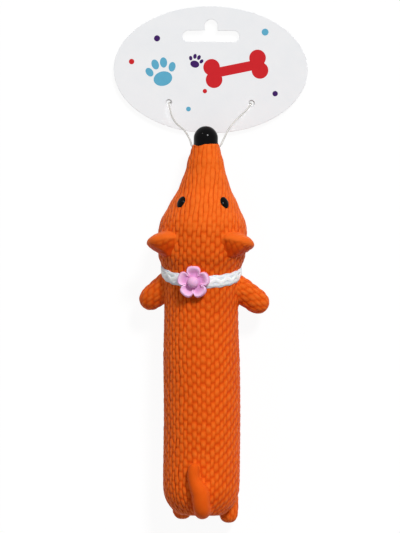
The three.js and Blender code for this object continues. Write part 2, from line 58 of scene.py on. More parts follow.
TRUNK_LENGTH = 130 * MM
BOW = 1.25 * MM
OUTLINE = [  # places along the body and radii there, in millimetres
    (-65, 11.39), (-63.96, 13.61), (-61.49, 16.39), (-57.46, 19.2), (-53.04, 20.59), (-47.45, 21.1),
    (-30, 21.1), (-13, 21.1), (18.2, 21.1), (28.6, 20.8), (44.2, 20.4), (56, 20.4), (65, 20.6),
    (69.56, 21.28), (72.2, 22.2), (75.08, 23.3), (77.72, 23.91), (83, 24.25), (89, 24.4), (91.97, 24.23),
    (96.92, 23.11), (102.37, 20.31), (107.81, 17.8), (113.26, 14.74), (119.2, 12.64), (124.64, 10.82),
    (130.09, 9.81), (132.81, 8.81), (135.53, 8.11), (137.76, 7.41), (138.5, 6.9),
]
COLUMN = 2.6 * MM
STITCH = 5.13 * MM
RELIEF = 0.6 * MM


def smooth_line(points, step):
    """Evenly spaced places on a smooth line through the given ones."""
    points = np.array(points, float)
    ends = np.vstack([2 * points[0] - points[1], points, 2 * points[-1] - points[-2]])
    line = []
    for a, b, c, d in zip(ends, ends[1:], ends[2:], ends[3:]):
        for t in np.linspace(0, 1, 24, endpoint=False):
            line.append(0.5 * (2 * b + (c - a) * t + (2 * a - 5 * b + 4 * c - d) * t**2
                               + (3 * b - a - 3 * c + d) * t**3))
    line = np.vstack([line, points[-1]])
    run = np.concatenate([[0], np.cumsum(np.linalg.norm(np.diff(line, axis=0), axis=1))])
    even = np.linspace(0, run[-1], max(2, int(round(run[-1] / step)) + 1))
    return np.column_stack([np.interp(even, run, line[:, k]) for k in range(points.shape[1])])


outline = smooth_line(np.array(OUTLINE) * MM, 0.2 * MM)
outline_slope = np.gradient(outline[:, 1], outline[:, 0])


def body_radius(y):
    return np.interp(y, outline[:, 0], outline[:, 1])


def rise(t, low, high):
    t = np.clip((t - low) / (high - low), 0, 1)
    return t * t * (3 - 2 * t)


def centre_height(y):
    from_nose = (NOSE_TIP_Y - y) / HEAD_LENGTH
    return AXIS_HEIGHT + HEAD_LIFT * rise(from_nose, 0.3, 0.66) * (1 - rise(from_nose, 0.85, 1.25))


def centre_aside(y):
    ahead = 1 - rise((y - NECK_Y) / HEAD_LENGTH, 0, 0.79)
    behind = 1 - rise((NECK_Y - y) / TRUNK_LENGTH, 0.12, 0.65)
    return -BOW * ahead * behind


def off_body(co):
    """How far each place is outside the body's smooth surface."""
    y = co[:, 1]
    out = np.hypot(co[:, 0] - centre_aside(y), co[:, 2] - centre_height(y)) - body_radius(y)
    return out / np.sqrt(1 + np.interp(y, outline[:, 0], outline_slope) ** 2)


def wander(a, b):
    """An uneven share between -1 and 1 for each pair of whole numbers."""
    return np.modf(np.abs(np.sin(12.9898 * a + 78.233 * b)) * 43758.5)[0] * 2 - 1


def knit(across, along, lean, groove, notch, crisp):
    """Height share of moulded knit, and its columns: rounded stitches stacked in columns, half a stitch
    apart in the next one. lean slants their ends, groove is how deep it is between columns and notch
    between stitches, and crisp how narrow both are. No two stitches are quite alike."""
    waver = 0.09 * np.sin(0.9 * along + 0.6 * across) + 0.09 * np.sin(2.3 * along - 1.7 * across)
    across = across + waver
    across = across + 0.05 * np.sin(2.2 * across + 0.4)
    column = np.round(across)
    aside = across - column
    run = along + 0.5 * np.mod(column, 2) + lean * aside + 0.05 * wander(column, 0)
    stitch = np.round(run)
    uneven = wander(column, stitch)
    end = 2 * (run - stitch) + 0.12 * uneven
    side = 2 * aside + 0.12 * wander(stitch, column)
    groove = groove * (0.8 + 0.2 * wander(stitch, 3 + np.round(across + 0.5)))
    height = 1 - groove * np.minimum(np.abs(side), 1) ** crisp - 0.08 * end**2
    height = height * (1 - notch * np.minimum(np.abs(end), 1) ** (0.8 * crisp))
    return height * (0.94 + 0.06 * uneven), across


def swell(distance, reach):
    """How far a moulded fillet stands over the crease where two forms meet."""
    return np.maximum(reach - np.abs(distance), 0) ** 2 / (4 * reach)


def colour(red, green, blue):
    """A colour given as 0 to 255 on a screen, as the shader wants it."""
    shares = [c / 255 for c in (red, green, blue)]
    return tuple(s / 12.92 if s <= 0.04045 else ((s + 0.055) / 1.055) ** 2.4 for s in shares) + (1,)


def turned(profile, steps):
    """A mesh made by turning a profile, of places along Y and radii, about the Y axis from the top."""
    bm = bmesh.new()
    line = [bm.verts.new((0, y, radius)) for y, radius in profile]
    edges = [bm.edges.new(pair) for pair in zip(line, line[1:])]
    bmesh.ops.spin(bm, geom=line + edges, cent=(0, 0, 0), axis=(0, 1, 0), angle=2 * math.pi,
                   steps=steps, use_merge=True, use_duplicate=False)
    bmesh.ops.remove_doubles(bm, verts=bm.verts, dist=1e-7)
    bmesh.ops.recalc_face_normals(bm, faces=bm.faces)
    return bm


def finished(bm, name, material, smooth=True):
    """A scene object from a bmesh, with its material."""
    mesh = bpy.data.meshes.new(name)
    bm.to_mesh(mesh)
    bm.free()
    mesh.materials.append(material)
    if smooth:
        mesh.shade_smooth()
    piece = bpy.data.objects.new(name, mesh)
    bpy.context.scene.collection.objects.link(piece)
    return piece


def places(mesh):
    co = np.empty(len(mesh.vertices) * 3)
    mesh.vertices.foreach_get("co", co)
    return co.reshape(-1, 3)


def put(piece, co, relief=None, columns=0, lines=0):
    """Moves the mesh's vertices, and keeps the relief's height, which sets painted shade and light, the
    columns of the knit and how dark the painted shade of the lines between them is for the material."""
    piece.data.vertices.foreach_set("co", co.ravel())
    if relief is not None:
        kept = piece.data.attributes.new("knit", "FLOAT_VECTOR", "POINT")
        shares = np.column_stack(np.broadcast_arrays(np.clip(relief, 0, 1), columns, lines))
        kept.data.foreach_set("vector", shares.astype(np.float32).ravel())
    piece.data.update()


def new_material(name):
    """A material with its nodes and their links."""
    material = bpy.data.materials.new(name)
    material.use_nodes = True
    return material, material.node_tree.nodes, material.node_tree.links


def with_values(node, **values):
    """The same shader node with these values on its sockets; _ in a name stands for a space."""
    for socket, value in values.items():
        node.inputs[socket.replace("_", " ")].default_value = value
    return node


def noise(nodes, links, scale, detail):
    """Noise that keeps its place on the piece."""
    place = nodes.new("ShaderNodeTexCoord")
    texture = with_values(nodes.new("ShaderNodeTexNoise"), Scale=scale, Detail=detail)
    links.new(place.outputs["Object"], texture.inputs["Vector"])
    return texture.outputs["Fac"]


def fine_surface(nodes, links, unevenness, dullest, dull, strength, depth):
    """Makes roughness and a fine bump follow the same noise."""
    shader = nodes["Principled BSDF"]
    rough = with_values(nodes.new("ShaderNodeMapRange"), To_Min=dullest, To_Max=dull)
    links.new(unevenness, rough.inputs["Value"])
    links.new(rough.outputs["Result"], shader.inputs["Roughness"])
    bump = with_values(nodes.new("ShaderNodeBump"), Strength=strength, Distance=depth)
    links.new(unevenness, bump.inputs["Height"])
    links.new(bump.outputs["Normal"], shader.inputs["Normal"])


def latex(name, groove, middle, lit_crown, glint):
    """Moulded latex: painted shade, a deeper colour, in the grooves, painted light, a paler colour, on
    the crowns, painted shade as dark broken lines between the columns, soft patches and a fine grain."""
    material, nodes, links = new_material(name)
    shader = with_values(nodes["Principled BSDF"], Subsurface_Weight=0.05,
                         Subsurface_Radius=(1, 0.3, 0.1), Subsurface_Scale=0.8 * MM,
                         Specular_IOR_Level=0.1, Specular_Tint=glint)
    kept = nodes.new("ShaderNodeAttribute")
    kept.attribute_name = "knit"
    relief = nodes.new("ShaderNodeSeparateXYZ")
    links.new(kept.outputs["Vector"], relief.inputs["Vector"])
    # The ramp paints shade into the grooves and light onto the crowns.
    ramp = nodes.new("ShaderNodeValToRGB")
    ramp.color_ramp.elements[0].color = groove
    ramp.color_ramp.elements[1].color = lit_crown
    ramp.color_ramp.elements.new(0.55).color = middle
    links.new(relief.outputs["X"], ramp.inputs["Fac"])
    aside = nodes.new("ShaderNodeMath")
    aside.operation = "PINGPONG"
    aside.inputs[1].default_value = 0.5
    links.new(relief.outputs["Y"], aside.inputs[0])
    breaks = with_values(nodes.new("ShaderNodeMapRange"), From_Min=0.38, From_Max=0.62)
    links.new(noise(nodes, links, 260, 1), breaks.inputs["Value"])
    links.new(relief.outputs["Z"], breaks.inputs["To Max"])
    line = with_values(nodes.new("ShaderNodeMapRange"), From_Min=0.36, From_Max=0.48)
    line.interpolation_type = "SMOOTHSTEP"
    links.new(aside.outputs["Value"], line.inputs["Value"])
    links.new(breaks.outputs["Result"], line.inputs["To Max"])
    # Painted shade: broken dark lines along the edges of the knit's columns, multiplied into the colour.
    lined = with_values(nodes.new("ShaderNodeMixRGB"), Color2=colour(180, 110, 60))
    lined.blend_type = "MULTIPLY"
    links.new(line.outputs["Result"], lined.inputs["Fac"])
    links.new(ramp.outputs["Color"], lined.inputs["Color1"])
    patches = with_values(nodes.new("ShaderNodeMapRange"), To_Min=0.92, To_Max=1.08)
    links.new(noise(nodes, links, 70, 4), patches.inputs["Value"])
    tint = nodes.new("ShaderNodeHueSaturation")
    links.new(patches.outputs["Result"], tint.inputs["Value"])
    links.new(lined.outputs["Color"], tint.inputs["Color"])
    links.new(tint.outputs["Color"], shader.inputs["Base Color"])
    fine_surface(nodes, links, noise(nodes, links, 1800, 3), 0.43, 0.6, 0.25, 0.05 * MM)
    return material


# A deep orange for the painted shade in the grooves, a paler one for the painted light on the crowns.
orange = latex("orange_latex", colour(208, 64, 10), colour(228, 92, 20), colour(238, 110, 36),
               (1, 0.4, 0.12, 1))

# Ears, arms and feet: solid lobes of the same moulding. Each is turned about its own line, takes the
# knitted relief, and swells where it meets the body, as the body does round it. An ear is round
# towards the nose, and its hollowed back slopes down to the neck.
LIMB_OUTLINE = [(0, 0), (0.02, 0.4), (0.06, 0.66), (0.16, 0.9), (0.32, 1), (0.6, 1), (0.76, 0.97),
                (0.87, 0.84), (0.94, 0.64), (0.985, 0.36), (1, 0)]
LOBE_OUTLINE = [(0, 0), (0, 0.5), (0.02, 0.86), (0.3, 0.96), (0.45, 0.94), (0.66, 0.81), (0.82, 0.6),
                (0.91, 0.45), (0.965, 0.29), (0.99, 0.14), (1, 0)]
limbs = []


def thickness(co, length, radius, flat, back):
    """A lobe's thickness as a share of its width: the same in front, deeper and pointed behind."""
    aside = np.sign(back) * co[:, 0] / radius - 0.4
    off = np.clip(np.abs(aside) / (1 - np.sign(aside) * 0.4), 0, 0.98)
    left = 1 - np.clip(co[:, 1] / length, 0, 1)
    behind = (flat + abs(back) * left) * ((1 - off) / (1 + off)) ** 0.3
    return np.where((co[:, 2] < 0) & (back != 0), behind, flat)


def limb(name, start, end, radius, shares, reach, ring_step, sides, flat=1, front=(0, 0, 1), back=0):
    """A lobe along a line, with stitches down it. It is flattened along front, and back is how much
    deeper it is behind, to a point on the side that its sign tells; reach is the size of its fillet."""
    start, end = Vector(start), Vector(end)
    length = (end - start).length
    profile = smooth_line(np.array(shares) * (length, radius), ring_step)
    piece = finished(turned(profile, sides), name + "_form", orange)
    co = places(piece.data)
    out = np.hypot(co[:, 0], co[:, 2])
    unit = np.column_stack([co[:, 0], np.zeros(len(co)), co[:, 2]]) / np.maximum(out, 1e-9)[:, None]
    turn = np.arctan2(co[:, 0], co[:, 2])
    columns = 2 * round(math.pi * radius / COLUMN)
    relief = knit(turn / (2 * math.pi) * columns, co[:, 1] / STITCH, 0.25, 0.8, 0.6, 3)[0]
    depth = RELIEF * rise(out, 0, 0.5 * radius)
    shaded_relief = relief
    if back:
        relief = knit(co[:, 1] / COLUMN, turn * radius * 0.8 / STITCH, 0.3, 0.8, 0.75, 2.4)[0]
        rear = 0.12 + 0.88 * rise(-co[:, 2], 0.05 * radius, 0.4 * radius)
        # Painted shade: the back of an ear, which faces away from the light, is coloured darker towards
        # its bottom, and all of the ear's colour is a little darker.
        shade = 0.85 * rise(-co[:, 2], 0.25 * radius, 0.85 * radius)
        depth = 1.5 * depth * rear
        shaded_relief = 0.85 * (1 - (1 - relief) * rear) * (1 - shade)
    co += unit * (depth * (relief - 1))[:, None]
    co[:, 2] *= thickness(co, length, radius, flat, back)
    axis = (end - start).normalized()
    across = axis.cross(Vector(front)).normalized()
    basis = np.array((across, axis, across.cross(axis)))
    co = co @ basis + np.array(start)
    unit = unit @ basis
    co += unit * swell(off_body(co), reach)[:, None]
    put(piece, co, shaded_relief)
    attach(piece, "toy")
    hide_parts(name)
    limbs.append((np.array(start), basis, length, profile, radius, flat, back, reach))


EAR_Y = 84.6 * MM
EAR_ROOT = 5 * MM
EAR_STANDS = 8.7 * MM
EAR_RADIUS = 11.75 * MM
EAR_FLAT = 0.477
EAR_HOLLOW = 0.6
EAR_REACH = 1.6 * MM
EAR_STEP = 0.3 * MM
EAR_LIFT = math.radians(33)
EAR_LEAN = math.radians(12)
ARM_RADIUS = 7 * MM
ARM_ROOT = 13 * MM
ARM_Y = 66 * MM
ARM_Y_SKEW = 1.5 * MM
ARM_END = 34.3 * MM
ARM_END_Y = 49 * MM
ARM_END_SKEW = 0.4 * MM
ARM_END_HEIGHT = 13.5 * MM
ARM_REACH = 2.6 * MM
FOOT_RADIUS = 5.4 * MM
FOOT_ASIDE = 12.9 * MM
FEET_MIDDLE = 1.6 * MM
FOOT_ROOT_Y = -51 * MM
FOOT_END_Y = -69.1 * MM
FOOT_END_SKEW = 0.8 * MM
FOOT_HEIGHT = 9.8 * MM
FOOT_REACH = 2.4 * MM
LIMB_STEP = 0.42 * MM
ear_middle = Vector((float(centre_aside(EAR_Y)), EAR_Y, float(centre_height(EAR_Y))))
for name, side in (("left_ear", -1), ("right_ear", 1)):
    outward = Vector((side * math.cos(EAR_LIFT), 0, math.sin(EAR_LIFT)))
    front = Vector((side * math.sin(EAR_LIFT), 0, -math.cos(EAR_LIFT))) * math.sin(EAR_LEAN)
    front += Vector((0, math.cos(EAR_LEAN), 0))
    limb(name, ear_middle + outward * (body_radius(EAR_Y) - EAR_ROOT),
         ear_middle + outward * (body_radius(EAR_Y) + EAR_STANDS), EAR_RADIUS, LOBE_OUTLINE,
         EAR_REACH, EAR_STEP, sides=108, flat=EAR_FLAT, front=front, back=EAR_HOLLOW * side)
for name, side in (("left_arm", -1), ("right_arm", 1)):
    y = ARM_Y - ARM_Y_SKEW * side
    limb(name, (side * ARM_ROOT, y, float(centre_height(y))),
         (side * ARM_END, ARM_END_Y - ARM_END_SKEW * side, ARM_END_HEIGHT), ARM_RADIUS, LIMB_OUTLINE,
         ARM_REACH, LIMB_STEP, sides=108)
for name, side in (("left_foot", -1), ("right_foot", 1)):
    x = FOOT_ASIDE * side + FEET_MIDDLE
    limb(name, (x, FOOT_ROOT_Y, FOOT_HEIGHT), (x, FOOT_END_Y - FOOT_END_SKEW * side, FOOT_HEIGHT),
         FOOT_RADIUS, LIMB_OUTLINE, FOOT_REACH, LIMB_STEP, sides=84)

# Tail: a smooth latex taper that grows out of the feet end, lies on the back and bends to the left.
TAIL_PATH = [  # aside, along and up, in millimetres
    (2.1, -61.2, 34), (2.1, -62.1, 38), (2.1, -60.6, 41), (1.76, -57.3, 42.4), (1.19, -52.5, 43),
    (-1.5, -46.7, 43.3), (-2.7, -42.2, 43.4), (-2.03, -35.6, 43.3),
]
TAIL_RADII = [  # shares of the tail's length and radii there, in millimetres
    (0, 3.8), (0.04, 4.4), (0.12, 4.5), (0.36, 4.8), (0.46, 4.8), (0.53, 4.7), (0.6, 4.3), (0.68, 3.6),
    (0.76, 3.25), (0.86, 3.1), (0.94, 2.6), (0.975, 1.8), (0.993, 0.9), (1, 0),
]
TAIL_LENGTH = 44 * MM
TAIL_REACH = 2.6 * MM
tail_path = smooth_line(np.array(TAIL_PATH) * MM, 0.25 * MM)
tail_run = np.linspace(0, 1, len(tail_path))
tail_profile = smooth_line(np.array([(0, 0)] + TAIL_RADII) * (TAIL_LENGTH, MM), 0.4 * MM)
tail = finished(turned(tail_profile, 72), "tail_form", orange)
co = places(tail.data)
share = np.clip(co[:, 1] / TAIL_LENGTH, 0, 1)
centre = np.column_stack([np.interp(share, tail_run, tail_path[:, k]) for k in range(3)])
forward = np.column_stack([np.interp(share, tail_run, np.gradient(tail_path[:, k])) for k in range(3)])
forward /= np.linalg.norm(forward, axis=1)[:, None]
side = np.array([1.0, 0, 0]) - forward * forward[:, :1]
side /= np.linalg.norm(side, axis=1)[:, None]
around = side * co[:, :1] + np.cross(side, forward) * co[:, 2:]
co = centre + around
around /= np.maximum(np.linalg.norm(around, axis=1), 1e-9)[:, None]
co += around * swell(off_body(co), TAIL_REACH)[:, None]
put(tail, co, np.full(len(co), 0.5))
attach(tail, "toy")
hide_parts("tail")

# The skin: a latex wall about 2.5 mm thick with the knit moulded on its outside, a solid snout, and a
# socket in the feet end for the squeaker. It is kept as two meshes that meet under the collar.
SPLIT_Y = 66 * MM
WALL = 2.5 * MM
CAVITY_Y = 124.5 * MM
CROSS_HOLE_Y = 137.3 * MM
CROSS_HOLE_EDGE = (0.6 * MM, 1 * MM)
CROSS_HOLE_DEPTH = 2 * MM
SKIN_LIFT = 0.1 * MM
HEAD_KNIT = (76 * MM, 96 * MM)
SNOUT_KNIT = (108 * MM, 130 * MM)
LONGER_STITCHES = (76 * MM, 90 * MM)
SHALLOWER_ENDS = (88 * MM, 104 * MM)
NECK_LINES_Y, NECK_LINES_REACH = 70 * MM, 20 * MM
SOCKET_LINE = [  # places in from the feet end and radii there, in millimetres
    (0, 10.7), (1.7, 10.5), (1.7, 8.3), (12, 8.3), (12, 10.3), (5.5, 14.5),
]
head_outer = outline[outline[:, 0] > SPLIT_Y + 0.1 * MM]
trunk_outer = outline[outline[:, 0] < SPLIT_Y - 0.1 * MM]
split_radius = float(body_radius(SPLIT_Y))
stitch_here = STITCH * (1 + 0.13 * rise(outline[:, 0], *LONGER_STITCHES))
step_run = np.hypot(np.gradient(outline[:, 0]), np.gradient(outline[:, 1]))
stitches_run = np.cumsum(step_run / stitch_here)


def inner_line(low, high, count):
    y = np.linspace(low, high, count)
    return np.column_stack([y, body_radius(y) - WALL])


def near_limbs(co):
    """How far the body's skin swells round each limb that leaves it."""
    grown = np.zeros(len(co))
    for start, basis, length, profile, radius, flat, back, reach in limbs:
        near = np.linalg.norm(co - start - basis[1] * length / 2, axis=1) < 1.4 * length
        local = (co[near] - start) @ basis.T
        out = np.hypot(local[:, 0], local[:, 2] / thickness(local, length, radius, flat, back))
        surface = np.interp(local[:, 1], profile[:, 0], profile[:, 1])
        true = np.hypot(local[:, 0], local[:, 2]) / np.maximum(out, 1e-9)
        along = (local[:, 1] > -reach) & (local[:, 1] < length + reach)
        grown[near] = np.maximum(grown[near], np.where(along, swell((out - surface) * true, reach), 0))
    near = co[:, 1] < tail_path[:, 1].max() + 6 * MM
    gap = np.full(near.sum(), 1.0)
    for place, share in zip(tail_path[::5], tail_run[::5]):
        radius = np.interp(share, *np.array(TAIL_RADII).T) * MM
        gap = np.minimum(gap, np.linalg.norm(co[near] - place, axis=1) - radius)
    grown[near] = np.maximum(grown[near], swell(gap, TAIL_REACH))
    return grown


def knit_skin(piece):
    """Moulds the knitted relief, the fillets, the hole for the loop and the flat of the belly into the
    skin. The knit is deepest on the left of the back, finest on the head and faint near the nose."""
    co = places(piece.data)
    y, out = co[:, 1].copy(), np.hypot(co[:, 0], co[:, 2])
    outside = out > body_radius(y) - 0.3 * MM
    slope = np.interp(y, outline[:, 0], outline_slope)
    turn = np.arctan2(co[:, 0], co[:, 2])
    turn -= 0.35 * np.sin(turn)
    co = np.column_stack([np.sin(turn) * out, y, np.cos(turn) * out])
    spread = np.where(y > 30 * MM, body_radius(y), TRUNK_RADIUS)
    head = rise(y, *HEAD_KNIT)
    snout = rise(y, *SNOUT_KNIT)
    across = turn * spread / COLUMN
    along = np.interp(y, outline[:, 0], stitches_run)
    lean = -0.3 * rise(turn, 0.1, 0.7) * (1 - head)
    left = rise(-turn, 0.1, 0.7)
    groove = 0.72 + 0.2 * left * (1 - head) - 0.14 * snout
    notch = (0.85 - 0.35 * left) * (1 - head) + (0.62 - 0.4 * rise(y, *SHALLOWER_ENDS)) * head
    relief, columns = knit(across, along, lean, groove, notch, 2.3 + 2 * left * (1 - head) + 1.7 * head)
    # Painted shade: the dark lines between the columns, strongest on the left, which faces away from the
    # light, and stronger round the neck.
    neck = np.exp(-(((y - NECK_LINES_Y) / NECK_LINES_REACH) ** 2))
    lines = 0.26 + 0.6 * left + (0.1 - 0.1 * left) * head + 0.3 * neck
    ends = rise(y, FEET_END_Y, FEET_END_Y + 2.5 * MM) * (1 - rise(y, SNOUT_Y - 2 * MM, SNOUT_Y))
    depth = RELIEF * (1 + 0.5 * left) * ends
    normal = np.column_stack([np.sin(turn), -slope, np.cos(turn)]) / np.sqrt(1 + slope**2)[:, None]
    lifted = co.copy()
    lifted[:, 0] += centre_aside(y)
    lifted[:, 1] += 0.05 * co[:, 0] * rise(y, SNOUT_Y - 2.5 * MM, SNOUT_Y) * (y > CAVITY_Y)
    lifted[:, 2] += centre_height(y)
    move = np.where(outside, depth * (relief - 1) + SKIN_LIFT + near_limbs(lifted), 0)
    hole = np.hypot(y - CROSS_HOLE_Y, co[:, 2])
    move -= np.where(outside, CROSS_HOLE_DEPTH * (1 - rise(hole, *CROSS_HOLE_EDGE)), 0)
    lifted += normal * move[:, None]
    lifted[:, 2] = np.maximum(lifted[:, 2], 0)
    put(piece, lifted, np.where(outside, relief, 0.6), columns, np.where(outside, lines, 0))


trunk_profile = np.vstack([
    [(SPLIT_Y, split_radius)],
    smooth_line(trunk_outer[::-1], 0.5 * MM),
    np.array(SOCKET_LINE) * MM + (FEET_END_Y, 0),
    inner_line(-56 * MM, SPLIT_Y, 22),
    [(SPLIT_Y, split_radius)],
])
trunk = finished(turned(trunk_profile, 300), "trunk_skin", orange)
knit_skin(trunk)
head_profile = np.vstack([
    [(SPLIT_Y, split_radius)],
    smooth_line(head_outer, 0.4 * MM),
    [(SNOUT_Y + 0.15 * MM, 6.4 * MM), (SNOUT_Y + 0.15 * MM, 0), (CAVITY_Y, 0), (CAVITY_Y, 7 * MM)],
    inner_line(SPLIT_Y, CAVITY_Y - 2 * MM, 16)[::-1],
    [(SPLIT_Y, split_radius)],
])
head = finished(turned(head_profile, 340), "head_skin", orange)
knit_skin(head)
for piece in (trunk, head):
    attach(piece, "toy")
    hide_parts("body_skin")

# Nose and eyes: smooth black latex with a gloss, painted over the moulding. The nose's edge wanders a
# little round the snout.
NOSE_LINE = [  # places ahead of the snout and radii there, in millimetres
    (0, 6.9), (0.5, 6.8), (1.4, 6.7), (4.2, 6.7), (5.4, 6.45), (6.7, 5.9), (8, 5), (9.2, 3.7), (10, 2.1),
    (10.4, 0),
]


def plain(name, dark, pale, scale, detail, dullest, dull, strength, depth, **sockets):
    """A moulded, painted or coated finish: two close colours, a little unevenness, a fine surface."""
    material, nodes, links = new_material(name)
    shader = with_values(nodes["Principled BSDF"], **sockets)
    unevenness = noise(nodes, links, scale, detail)
    ramp = nodes.new("ShaderNodeValToRGB")
    ramp.color_ramp.elements[0].color = dark
    ramp.color_ramp.elements[1].color = pale
    links.new(unevenness, ramp.inputs["Fac"])
    links.new(ramp.outputs["Color"], shader.inputs["Base Color"])
    fine_surface(nodes, links, unevenness, dullest, dull, strength, depth)
    return material


black = plain("black_gloss", colour(1, 1, 2), colour(9, 8, 9), 400, 4, 0.05, 0.12, 0.15, 0.04 * MM,
              Specular_IOR_Level=0.07)
NOSE_SKIRT = 2.4 * MM
NOSE_SEAT = 0.1 * MM
nose_line = smooth_line(np.array(NOSE_LINE) * MM, 0.35 * MM)
nose = finished(turned(np.vstack([[(0, 0)], nose_line]), 96), "nose_form", black)
co = places(nose.data)
turn = np.arctan2(co[:, 0], co[:, 2])
skirt = 1 - rise(co[:, 1], 0, NOSE_SKIRT)
run_down = np.exp(-((turn + 0.45) / 0.5) ** 2)
drop = 0.85 * run_down + 0.25 * np.sin(3 * turn) - 0.35 * np.sin(turn)
co[:, [0, 2]] *= (1 + skirt * 0.09 * run_down)[:, None]
co[:, 1] -= skirt * drop * MM * rise(np.hypot(co[:, 0], co[:, 2]), 3 * MM, 6 * MM)
co += (0, SNOUT_Y - NOSE_SEAT, float(centre_height(SNOUT_Y)))
put(nose, co)
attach(nose, "toy")
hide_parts("nose_tip")

EYE_Y = 106.4 * MM
EYE_ASIDE = 11.8 * MM
EYES_MIDDLE = 0.5 * MM
EYE_HALF_SIZES = (2.55 * MM, 3.5 * MM, 1.35 * MM)
EYE_LEAN = math.radians(3)
for name, side in (("left_eye", -1), ("right_eye", 1)):
    bm = bmesh.new()
    bmesh.ops.create_uvsphere(bm, u_segments=40, v_segments=24, radius=1)
    bmesh.ops.scale(bm, vec=EYE_HALF_SIZES, verts=bm.verts)
    radius = float(body_radius(EYE_Y))
    slope = float(np.interp(EYE_Y, outline[:, 0], outline_slope))
    aside = EYE_ASIDE * side + EYES_MIDDLE
    sine = aside / radius
    cosine = math.sqrt(1 - sine * sine)
    normal = Vector((sine, -slope, cosine)).normalized()
    forward = Vector((sine * slope, 1, cosine * slope)).normalized()
    inward = Vector((-side * cosine, 0, side * sine))
    along = (forward * math.cos(EYE_LEAN) + inward * math.sin(EYE_LEAN)).normalized()
    turn_to = Matrix((along.cross(normal), along, normal)).transposed().to_4x4()
    seat = Vector((float(centre_aside(EYE_Y)) + aside, EYE_Y,
                   float(centre_height(EYE_Y)) + radius * cosine))
    bmesh.ops.transform(bm, matrix=Matrix.Translation(seat) @ turn_to, verts=bm.verts)
    eye = finished(bm, name + "_form", black)
    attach(eye, "toy")
    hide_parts(name)

# Collar: a soft white braid of three strands, moulded round the neck. It dips towards the feet on the
# back.
COLLAR_WIDTH = 6.8 * MM
COLLAR_PROUD = 1.3 * MM
COLLAR_Y = 68.4 * MM
COLLAR_DIP = 5.4 * MM
COLLAR_SKEW = 0.45 * MM
COLLAR_SEAT = 0.5 * MM
BRAID_REPEATS = 12
across = np.linspace(-1, 1, 33)
collar_profile = np.vstack([
    np.column_stack([across, np.ones(33)]),
    [(1, 0), (0.5, 0), (0, 0), (-0.5, 0), (-1, 0), (-1, 1)],
])
# The braid's bluish grey between the strands is painted shade, and its white crowns are painted light.
white = latex("white_latex", colour(218, 227, 235), colour(248, 251, 253), colour(255, 255, 255),
              (1, 1, 1, 1))
collar = finished(turned(collar_profile * (1, 1) + (0, 3), 540), "collar_form", white)
co = places(collar.data)
turn = np.arctan2(co[:, 0], co[:, 2])
raised = np.hypot(co[:, 0], co[:, 2]) - 3
share = co[:, 1]
relief = np.zeros(len(co))
for strand in range(3):
    phase = turn * BRAID_REPEATS / 2 + 2 * math.pi * strand / 3
    from_strand = np.abs(share - 0.5 * np.sin(phase)) / 0.42
    over = 0.65 + 0.35 * np.cos(2 * phase)
    relief = np.maximum(relief, np.sqrt(np.maximum(1 - from_strand**2, 0)) * over)
dip = COLLAR_DIP * (np.cos(turn) + np.sqrt(np.cos(turn) ** 2 + 0.03)) / 2 + COLLAR_SKEW * np.sin(turn)
scallop = 1 - 0.06 * np.cos(turn * BRAID_REPEATS * 1.5 + np.sign(share) * math.pi / 2)
y = COLLAR_Y + share * scallop * COLLAR_WIDTH / 2 - dip
edge = np.sqrt(np.clip((1 - np.abs(share)) / 0.3, 0, 1))
height = np.where(raised > 0.5, COLLAR_PROUD * (0.5 + 0.5 * relief) * edge, -COLLAR_SEAT)
out = body_radius(y) + height
co = np.column_stack([np.sin(turn) * out + centre_aside(y), y, np.cos(turn) * out + centre_height(y)])
co[:, 2] = np.maximum(co[:, 2], 0)
put(collar, co, np.where(raised > 0.5, relief, 0.5))
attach(collar, "toy")
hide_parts("collar_band")

# Flower: five cupped petals of pink latex with rolled rims, and a round bead in the middle. It sits on
# the collar, left of the middle of the back.
FLOWER_REACH = 8.8 * MM
FLOWER_HEIGHT = 3.1 * MM
FLOWER_Y = 62.8 * MM
FLOWER_ASIDE = 1.1 * MM
FLOWER_LIFT = 0.6 * MM
FLOWER_SEAT = 0.4 * MM
FLOWER_TURN = math.radians(4)
BEAD_RADIUS = 3.15 * MM
BEAD_LIFT = 2.5 * MM
PETALS = 5
petal_tops = np.linspace(0, 1, 34)
flower_profile = np.vstack([
    np.column_stack([np.full(34, 1.0), petal_tops]),
    [(0.66, 1.03), (0.33, 1.0), (0, 0.96), (0, 0.5), (0, 0)],
])
pink = latex("pink_latex", colour(196, 128, 190), colour(234, 172, 214), colour(248, 198, 236),
             (1, 1, 1, 1))
flower = finished(turned(flower_profile, 200), "flower_form", pink)
co = places(flower.data)
turn = np.arctan2(co[:, 0], co[:, 2])
share = np.hypot(co[:, 0], co[:, 2])
lobe = np.abs(np.sin(PETALS * (turn + math.pi / PETALS) / 2))
reach = FLOWER_REACH * (1 - 0.3 * (1 - lobe) ** 2.2)
rolled = rise(share, 0.5, 0.92) * (1 - 0.4 * rise(share, 0.94, 1.0))
rim = rise(1 - lobe, 0.25, 0.75) * rise(share, 0.45, 0.7)
crease = (1 - rise(lobe, 0, 0.25)) * rise(share, 0.35, 0.8)
top = 0.34 + 0.66 * np.maximum(rolled, 0.65 * rim) - 0.25 * crease
side_rim = rise(share, 0.94, 1.0) ** 2
height = np.where(co[:, 1] > 0.99, top * (1 - 0.12 * side_rim), co[:, 1] * 0.8 * top)
lift = FLOWER_HEIGHT * height
normal = Vector((-math.sin(FLOWER_TURN), 0, math.cos(FLOWER_TURN)))
aside = Vector((normal.z, 0, -normal.x))
seat = Vector((float(centre_aside(FLOWER_Y)) - FLOWER_ASIDE, FLOWER_Y, float(centre_height(FLOWER_Y))))
seat += normal * float(body_radius(FLOWER_Y) + FLOWER_LIFT)
x, y = share * reach * np.sin(turn), share * reach * np.cos(turn)
sag = (np.sqrt(np.maximum(TRUNK_RADIUS**2 - x**2, 0)) - TRUNK_RADIUS) * np.clip(1 - co[:, 1], 0, 1)
